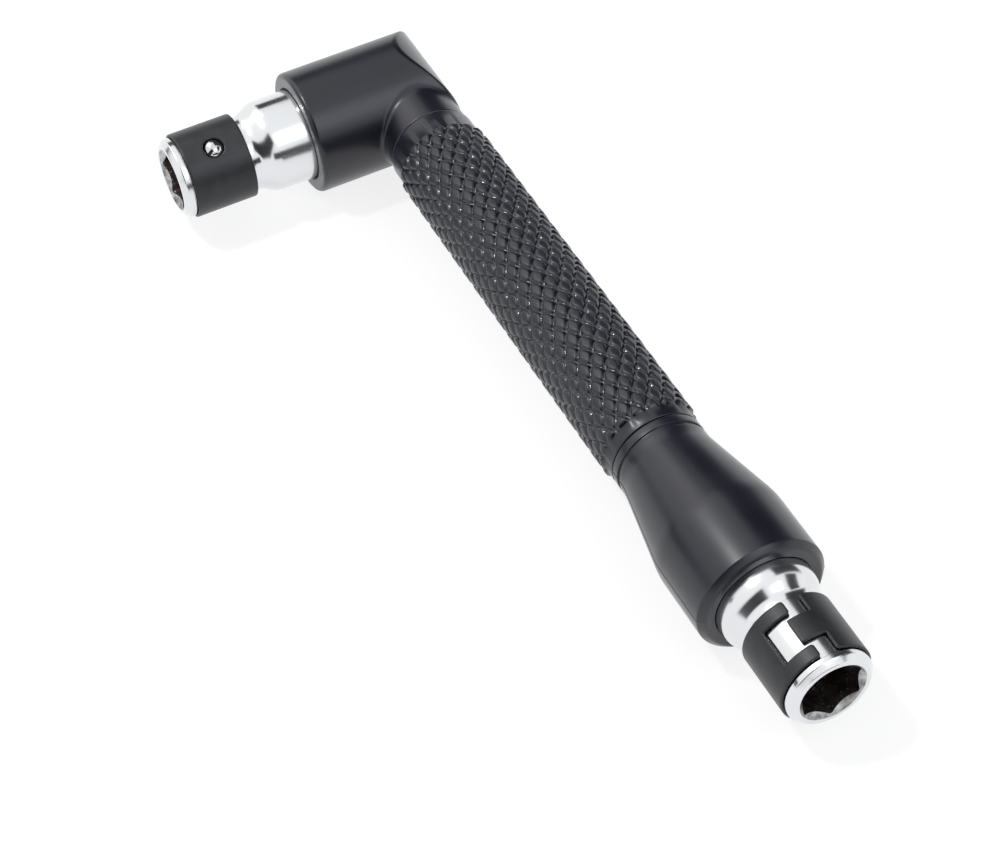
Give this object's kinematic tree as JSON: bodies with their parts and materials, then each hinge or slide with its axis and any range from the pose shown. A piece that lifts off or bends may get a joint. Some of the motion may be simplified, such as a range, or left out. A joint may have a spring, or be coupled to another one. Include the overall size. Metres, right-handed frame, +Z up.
{
  "type": "l-shaped socket wrench",
  "caption": "L-shaped hand wrench with a knurled grip, a right-angle head and a ball-detent hex bit socket at each end.",
  "frame": {"origin": "on the table under the middle of the wrench's box, as it lies flat", "axes": "+X along the handle towards its socket, -Y along the head towards its socket, +Z up"},
  "size_m": [0.111, 0.0378, 0.0152],
  "materials": {
    "body_black": "satin moulded black nylon",
    "chrome": "bright chrome plate on turned steel",
    "spring_black": "satin blackened spring steel",
    "ball_steel": "polished bearing steel"
  },
  "bodies": {
    "tool_body": {"elbow_head": "body_black", "knurled_grip": "body_black", "flared_end": "body_black", "handle_socket": "chrome", "handle_clip": "spring_black", "head_socket": "chrome", "head_clip": "spring_black"},
    "handle_detent": {"handle_ball": "ball_steel"},
    "head_detent": {"head_ball": "ball_steel"}
  },
  "joints": [
    {"name": "handle_ball_slide", "type": "slide", "parent": "tool_body", "child": "handle_detent", "axis": [0, 0, -1], "range_m": [0, 0.0009], "stiffness_N_per_m": 4000, "deforming": ["handle_clip"]},
    {"name": "head_ball_slide", "type": "slide", "parent": "tool_body", "child": "head_detent", "axis": [0.4321, 0, 0.9018], "range_m": [0, 0.0009], "stiffness_N_per_m": 4000, "deforming": ["head_clip"]}
  ]
}
